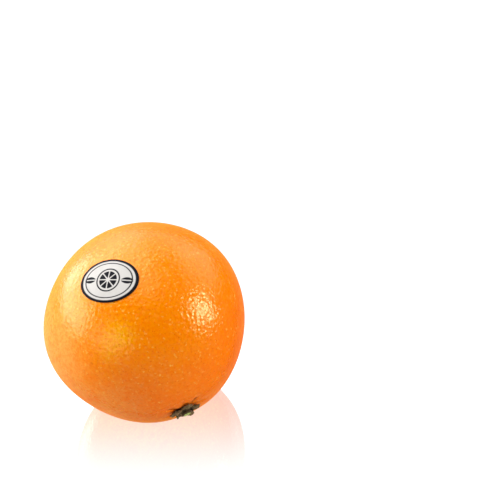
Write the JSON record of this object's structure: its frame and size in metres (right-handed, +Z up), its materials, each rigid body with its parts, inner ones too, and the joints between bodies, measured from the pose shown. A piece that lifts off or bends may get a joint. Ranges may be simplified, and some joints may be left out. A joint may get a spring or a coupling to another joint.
{
  "type": "whole orange",
  "caption": "Whole table orange at rest, with dimpled peel, a dry calyx round a cut stem stub, and an oval produce label stuck to its upper side.",
  "frame": {"origin": "centre of the small flat spot that the fruit rests on", "axes": "+Z up, -Y out of the front, where the calyx is low and a little to +X and the label is high and to -X"},
  "size_m": [0.0816, 0.0818, 0.0813],
  "materials": {
    "peel": "waxy, finely dimpled orange peel",
    "calyx": "dry, matt, brown",
    "stem": "dry, matt, pale green",
    "label": "satin white film with a black print"
  },
  "bodies": {
    "root": {"peel": "peel", "calyx": "calyx", "stem": "stem", "label": "label"}
  },
  "joints": []
}
